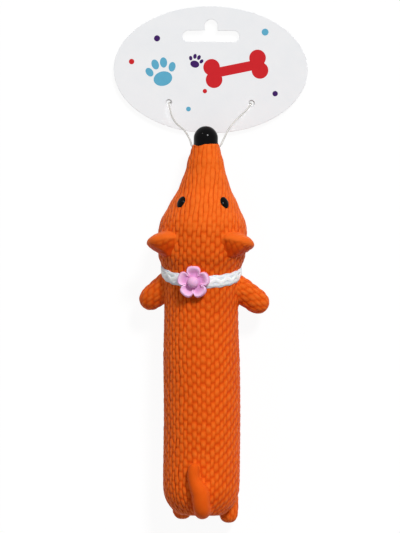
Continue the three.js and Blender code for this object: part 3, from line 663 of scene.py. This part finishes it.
flower_co = (np.array(seat) + np.outer(x, aside) + np.outer(y, (0, 1, 0))
             + np.outer(lift + sag - FLOWER_SEAT * (co[:, 1] < 0.01), normal))
# Painted light and shade: the rolled rims are coloured paler, the cupped middles and the creases between
# the petals darker.
relief = 0.3 + 0.7 * np.maximum(rolled, rim) - 0.15 * crease
put(flower, flower_co, np.where(co[:, 1] > 0.99, relief, 0.3))
bm = bmesh.new()
bmesh.ops.create_uvsphere(bm, u_segments=48, v_segments=32, radius=BEAD_RADIUS)
bmesh.ops.translate(bm, vec=seat + normal * BEAD_LIFT, verts=bm.verts)
bead = finished(bm, "bead_form", pink)
put(bead, places(bead.data), np.full(len(bead.data.vertices), 0.7))
for piece, node in ((flower, "flower_petals"), (bead, "flower_centre")):
    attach(piece, "toy")
    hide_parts(node)

# Squeaker: a white plastic cup with a flange, closed by a vented cap, plugged into the feet end. The
# reed, its holder and its pad inside stay as they are and take the same plastics.
squeaker_plastic = plain("squeaker_plastic", colour(228, 228, 222), colour(243, 243, 240), 900, 5,
                         0.272, 0.408, 0.2, 0.03 * MM)
reed_film = plain("reed_film", colour(205, 196, 160), colour(222, 214, 180), 300, 5, 0.2, 0.3,
                  0.2, 0.01 * MM)
housing_line = np.array([  # places in from the feet end and radii there, in millimetres
    (0.15, 7.75), (0, 7.9), (0, 10), (0.2, 10.2), (1.2, 10.2), (1.4, 10), (1.4, 8), (13.8, 8), (14, 7.8),
    (14, 3.5), (12.8, 3.5), (12.8, 6.9), (1.5, 6.9), (1.5, 7.6), (0.15, 7.75),
]) * MM
bm = turned(housing_line, 72)
bmesh.ops.translate(bm, vec=(0, FEET_END_Y, AXIS_HEIGHT), verts=bm.verts)
housing = finished(bm, "squeaker_cup", squeaker_plastic, smooth=False)
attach(housing, "toy")
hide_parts("squeaker_housing")


def flat_plate(name, edges, thickness, bevel):
    """A plate with holes, cut from closed outlines and given its thickness; it lies on the XY plane."""
    curve = bpy.data.curves.new(name, "CURVE")
    curve.dimensions = "2D"
    curve.fill_mode = "BOTH"
    curve.extrude = thickness / 2 - bevel
    curve.bevel_depth = bevel
    curve.bevel_resolution = 2
    for edge in edges:
        spline = curve.splines.new("POLY")
        spline.points.add(len(edge) - 1)
        for point, (x, y) in zip(spline.points, edge):
            point.co = (x, y, 0, 1)
        spline.use_cyclic_u = True
    drawn = bpy.data.objects.new(name, curve)
    bpy.context.scene.collection.objects.link(drawn)
    mesh = bpy.data.meshes.new_from_object(drawn.evaluated_get(bpy.context.evaluated_depsgraph_get()))
    bpy.data.objects.remove(drawn)
    bm = bmesh.new()
    bm.from_mesh(mesh)
    bpy.data.meshes.remove(mesh)
    bmesh.ops.remove_doubles(bm, verts=bm.verts, dist=1e-7)
    bmesh.ops.recalc_face_normals(bm, faces=bm.faces)
    return bm


def ring(x, y, radius, count, height=None):
    """Places on a circle or an ellipse."""
    turns = np.linspace(0, 2 * math.pi, count, endpoint=False)
    return [(x + radius * math.cos(t), y + (height or radius) * math.sin(t)) for t in turns]


CAP_RADIUS = 7.15 * MM
CAP_THICK = 1.2 * MM
CAP_BEVEL = 0.15 * MM
VENT_CIRCLE = 4.4 * MM
VENT_RADIUS = 1 * MM
VENTS = 6
vents = [ring(0, 0, VENT_RADIUS, 20)]
for x, y in ring(0, 0, VENT_CIRCLE, VENTS):
    vents.append(ring(x, y, VENT_RADIUS, 20))
bm = flat_plate("squeaker_cap", [ring(0, 0, CAP_RADIUS, 72)] + vents, CAP_THICK, CAP_BEVEL)
bmesh.ops.rotate(bm, cent=(0, 0, 0), matrix=Matrix.Rotation(math.pi / 2, 3, "X"), verts=bm.verts)
bmesh.ops.translate(bm, vec=(0, FEET_END_Y + CAP_THICK / 2, AXIS_HEIGHT), verts=bm.verts)
cap = finished(bm, "squeaker_cap", squeaker_plastic, smooth=False)
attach(cap, "toy")
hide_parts("squeaker_grille")
for node, material in (("reed_holder", squeaker_plastic), ("reed_clamp", squeaker_plastic),
                       ("reed_tongue", reed_film)):
    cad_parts[node].data.materials.clear()
    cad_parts[node].data.materials.append(material)

# Wadding: loose polyester fibre that fills the skin between the squeaker and the snout.
LONGEST_EDGE = 8 * MM
wadding = plain("wadding", colour(226, 224, 216), colour(248, 247, 243), 600, 5, 0.76, 1.14,
                0.2, 0.5 * MM)
bm = bmesh.new()
bm.from_mesh(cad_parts["fibre_fill"].data)
bmesh.ops.remove_doubles(bm, verts=bm.verts, dist=1e-6)
bmesh.ops.dissolve_limit(bm, angle_limit=math.radians(1), verts=bm.verts, edges=bm.edges)
bmesh.ops.triangulate(bm, faces=bm.faces)
long_edges = [edge for edge in bm.edges if edge.calc_length() > LONGEST_EDGE]
bmesh.ops.subdivide_edges(bm, edges=long_edges, cuts=3, use_grid_fill=True)
bmesh.ops.triangulate(bm, faces=bm.faces)
fill = finished(bm, "wadding_fill", wadding)
co = places(fill.data)
inward = np.column_stack([-co[:, 0], np.zeros(len(co)), AXIS_HEIGHT - co[:, 2]]) * 0.06
wave = np.sin(co[:, 1] / (3.1 * MM) + 2 * np.sin(co[:, 0] / (4 * MM)))
lump = 0.5 + 0.5 * wave * np.cos(co[:, 2] / (3.7 * MM))
put(fill, co + inward * lump[:, None])
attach(fill, "toy")
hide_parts("fibre_fill")

# Hang card: pale coated card, 0.6 mm thick, cut to an oval with a hanging slot and two holes for the
# loop. Its print is a plain pattern of a bone, paw marks and dots.
CARD_X = 0.8 * MM
CARD_Y = 180.6 * MM
CARD_Z = 2.675 * MM
CARD_THICK = 0.6 * MM
CARD_HALF_LENGTH = 53.65 * MM
CARD_HALF_WIDTH = 34.95 * MM
CARD_BEVEL = 0.18 * MM
SLOT_ASIDE = 12.7 * MM
SLOT_Y = 18.5 * MM
SLOT_RADIUS = 3.3 * MM
DOME_RADIUS = 3.8 * MM
DOME_Y = 24.2 * MM
DOME_FOOT_Y = SLOT_Y + SLOT_RADIUS
HOLE_ASIDE = 22.95 * MM
HOLE_Y = -18.5 * MM
HOLE_RADIUS = 1.95 * MM
HOLE_REACH = 2.3 * MM
HOLE_UNDER = 0.68  # the holes' width under the card, as a share of their width on top
INK_LIFT, INK_LAYER = 0.02 * MM, 0.008 * MM
coated_card = plain("coated_card", colour(241, 243, 246), colour(249, 249, 250), 120, 5, 0.32, 0.48,
                    0.2, 0.02 * MM, Specular_IOR_Level=0.25)


def arc(x, y, radius, low, high, count):
    turns = np.linspace(math.radians(low), math.radians(high), count)
    return [(x + radius * math.cos(t), y + radius * math.sin(t)) for t in turns]


slot_edge = (arc(SLOT_ASIDE, SLOT_Y, SLOT_RADIUS, -90, 90, 16) + [(DOME_RADIUS, DOME_FOOT_Y)]
             + arc(0, DOME_Y, DOME_RADIUS, 0, 180, 24) + [(-DOME_RADIUS, DOME_FOOT_Y)]
             + arc(-SLOT_ASIDE, SLOT_Y, SLOT_RADIUS, 90, 270, 16))
holes = [ring(side * HOLE_ASIDE, HOLE_Y, HOLE_RADIUS, 28) for side in (-1, 1)]
card_edge = ring(0, 0, CARD_HALF_LENGTH, 200, CARD_HALF_WIDTH)
bm = flat_plate("card", [card_edge, slot_edge] + holes, CARD_THICK, CARD_BEVEL)
for vert in bm.verts:
    centre = Vector((math.copysign(HOLE_ASIDE, vert.co.x), HOLE_Y, vert.co.z))
    if vert.co.z < 0 and (vert.co - centre).length < HOLE_REACH:
        vert.co = centre + (vert.co - centre) * HOLE_UNDER
bmesh.ops.translate(bm, vec=(CARD_X, CARD_Y, CARD_Z + CARD_THICK / 2), verts=bm.verts)
hang_card = finished(bm, "hang_card", coated_card, smooth=False)
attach(hang_card, "card")
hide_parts("tag_card")


def printed(name, ink, blobs):
    """Flat patches of one ink on the card: each has x, y, two half sizes, a turn and how square it is."""
    bm = bmesh.new()
    for layer, (x, y, wide, high, degrees, square) in enumerate(blobs):
        made = bmesh.ops.create_circle(bm, cap_ends=True, segments=48, radius=1)["verts"]
        for vert in made:
            vert.co.x, vert.co.y = (math.copysign(abs(c) ** (1 - square), c) for c in vert.co.xy)
        bmesh.ops.scale(bm, vec=(wide * MM, high * MM, 1), verts=made)
        turn = Matrix.Rotation(math.radians(degrees), 3, "Z")
        bmesh.ops.rotate(bm, cent=(0, 0, 0), matrix=turn, verts=made)
        height = CARD_Z + CARD_THICK + INK_LIFT + INK_LAYER * layer
        bmesh.ops.translate(bm, vec=(CARD_X + x * MM, CARD_Y + y * MM, height), verts=made)
    pale = tuple(min(1, c * 1.12) for c in ink[:3]) + (1,)
    print_ink = plain(name, ink, pale, 500, 5, 0.28, 0.42, 0.2, 0.01 * MM, Specular_IOR_Level=0.1)
    piece = finished(bm, name, print_ink, smooth=False)
    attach(piece, "card")


def placed(x, y, degrees, marks):
    """Blobs given about their own middle, turned and put on the card."""
    cosine, sine = math.cos(math.radians(degrees)), math.sin(math.radians(degrees))
    return [(x + a * cosine - b * sine, y + a * sine + b * cosine, wide, high, turn + degrees, square)
            for a, b, wide, high, turn, square in marks]


def paw(x, y, size, degrees):
    """A paw mark: one pad and four toes."""
    shares = [(0, -0.25, 0.55, 0.42, 0), (-0.68, 0.3, 0.2, 0.28, 25), (-0.25, 0.66, 0.21, 0.3, 8),
              (0.25, 0.66, 0.21, 0.3, -8), (0.68, 0.3, 0.2, 0.28, -25)]
    return placed(x, y, degrees, [(size * a, size * b, size * wide, size * high, turn, 0)
                                  for a, b, wide, high, turn in shares])


def bone(x, y, length, thick, degrees):
    """A bone: a shaft and four knobs."""
    knob = thick * 0.72
    marks = [(0, 0, length * 0.52, thick * 0.42, 0, 0.7)]
    marks += [(k * length / 2, s * thick * 0.55, knob, knob, 0, 0) for k in (-1, 1) for s in (-1, 1)]
    return placed(x, y, degrees, marks)


red, blue, violet = colour(205, 38, 44), colour(96, 172, 202), colour(62, 30, 96)
printed("print_red", red,
        bone(14, 0.5, 26, 6.4, 12) + [(-44, 4, 1.5, 1.5, 0, 0), (-3, -12, 1.2, 1.2, 0, 0)])
printed("print_blue", blue,
        paw(-27, -3, 9.5, 14) + [(30, 21, 1.9, 1.9, 0, 0), (-12, -22, 1.3, 1.3, 0, 0)])
printed("print_violet", violet,
        paw(-8.5, 4, 4.6, -16) + [(-30, 17, 1.7, 1.7, 0, 0), (36, -13, 1.5, 1.5, 0, 0)])

# Loop: clear nylon thread, 1.1 mm thick, that passes through the snout and both holes of the card and
# is closed by a small clear lock under the card. The left strand lies a little closer to the nose.
STRAND_SHIFT = 0.8 * MM
SHIFT_FROM = (136.5 * MM, 140.5 * MM)
SHIFT_TO = (143.5 * MM, 150 * MM)
LOCK_ROUNDING = 0.45 * MM
clear_nylon = plain("clear_nylon", colour(192, 189, 185), colour(218, 216, 212), 200, 5, 0.32, 0.48,
                    0.2, 0.01 * MM, Transmission_Weight=0.3, IOR=1.53)
bm = bmesh.new()
bm.from_mesh(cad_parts["tag_loop"].data)
bmesh.ops.remove_doubles(bm, verts=bm.verts, dist=1e-6)
bmesh.ops.join_triangles(bm, faces=bm.faces, angle_face_threshold=math.pi, angle_shape_threshold=math.pi)
loop = finished(bm, "nylon_loop", clear_nylon)
co = places(loop.data)
tight = rise(co[:, 1], *SHIFT_FROM) * (1 - rise(co[:, 1], *SHIFT_TO))
co[:, 0] += np.where(co[:, 0] < 0, STRAND_SHIFT * tight, 0)
put(loop, co)
rounder = loop.modifiers.new("rounder", "SUBSURF")
rounder.levels = rounder.render_levels = 2
loop.visible_shadow = False
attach(loop, "loop")
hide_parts("tag_loop")
low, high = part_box("tag_loop_lock")
bm = bmesh.new()
bmesh.ops.create_cube(bm, size=1)
bmesh.ops.scale(bm, vec=high - low, verts=bm.verts)
bmesh.ops.translate(bm, vec=(low + high) / 2, verts=bm.verts)
bmesh.ops.bevel(bm, geom=bm.edges, offset=LOCK_ROUNDING, segments=4, affect="EDGES", profile=0.5,
                material=-1)
lock = finished(bm, "loop_lock", clear_nylon)
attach(lock, "loop")
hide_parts("tag_loop_lock")

# Studio: a plain white table and world that the camera sees as white, and soft light from the upper
# right of the picture.
TABLE_SIZE = 3
TABLE_GLOW = 1.04
SEEN_SHARE = 0.9
WORLD_LEVEL = 0.25


def seen_rays(nodes, links):
    """1 for the rays that show the background: from the camera, off a gloss or through glass."""
    rays = nodes.new("ShaderNodeLightPath")
    level = rays.outputs["Is Camera Ray"]
    for kind in ("Is Glossy Ray", "Is Transmission Ray"):
        most = nodes.new("ShaderNodeMath")
        most.operation = "MAXIMUM"
        links.new(level, most.inputs[0])
        links.new(rays.outputs[kind], most.inputs[1])
        level = most.outputs["Value"]
    return level


bm = bmesh.new()
bmesh.ops.create_grid(bm, x_segments=1, y_segments=1, size=TABLE_SIZE)
table_white, nodes, links = new_material("table_white")
shader = with_values(nodes["Principled BSDF"], Base_Color=(0.75, 0.75, 0.75, 1), Roughness=0.8)
glow = with_values(nodes.new("ShaderNodeEmission"), Strength=TABLE_GLOW)
part = nodes.new("ShaderNodeMath")
part.operation = "MULTIPLY"
part.inputs[1].default_value = SEEN_SHARE
mix = nodes.new("ShaderNodeMixShader")
links.new(seen_rays(nodes, links), part.inputs[0])
links.new(part.outputs["Value"], mix.inputs["Fac"])
links.new(shader.outputs["BSDF"], mix.inputs[1])
links.new(glow.outputs["Emission"], mix.inputs[2])
links.new(mix.outputs["Shader"], nodes["Material Output"].inputs["Surface"])
floor = finished(bm, "table", table_white, smooth=False)

world = bpy.data.worlds.new("studio")
world.use_nodes = True
nodes, links = world.node_tree.nodes, world.node_tree.links
with_values(nodes["Background"], Color=(1, 1, 1, 1))
level = with_values(nodes.new("ShaderNodeMapRange"), To_Min=WORLD_LEVEL)
links.new(seen_rays(nodes, links), level.inputs["Value"])
links.new(level.outputs["Result"], nodes["Background"].inputs["Strength"])
bpy.context.scene.world = world
LAMPS = [  # a name, the way to the lamp, its strength and its width in degrees
    ("key", (0.35, 0.58, 0.8), 2.5, 11),
    ("fill", (-0.45, 0.7, 0.55), 0.25, 7),
]
for name, direction, strength, spread in LAMPS:
    lamp = bpy.data.lights.new(name, "SUN")
    lamp.energy = strength
    lamp.angle = math.radians(spread)
    held = bpy.data.objects.new(name, lamp)
    held.rotation_euler = Vector(direction).to_track_quat("Z", "Y").to_euler()
    bpy.context.scene.collection.objects.link(held)

# Camera: a long lens above, with the photograph's tilt, roll and scale, and the nose tip falls where it
# does there.
TILT, ROLL = math.radians(4.5), math.radians(0.75)
PIXEL = 0.55 * MM
DISTANCE = 2.4
PICTURE = (400, 533)
NOSE_PIXEL = (206, 125.5)
right = Vector((math.cos(TILT) * math.cos(ROLL), math.sin(ROLL), -math.sin(TILT) * math.cos(ROLL)))
up = Vector((-math.cos(TILT) * math.sin(ROLL), math.cos(ROLL), math.sin(TILT) * math.sin(ROLL)))
back = right.cross(up)
aim = Vector((0, NOSE_TIP_Y, AXIS_HEIGHT))
aim += right * (PICTURE[0] / 2 - NOSE_PIXEL[0]) * PIXEL + up * (NOSE_PIXEL[1] - PICTURE[1] / 2) * PIXEL
lens = bpy.data.cameras.new("camera")
lens.lens = lens.sensor_width * DISTANCE / (PICTURE[1] * PIXEL)
lens.clip_end = 20
camera = bpy.data.objects.new("camera", lens)
facing = Matrix((right, up, back)).transposed().to_4x4()
camera.matrix_world = Matrix.Translation(aim + back * DISTANCE) @ facing
bpy.context.scene.collection.objects.link(camera)
bpy.context.scene.camera = camera
bpy.context.scene.view_settings.view_transform = "Standard"
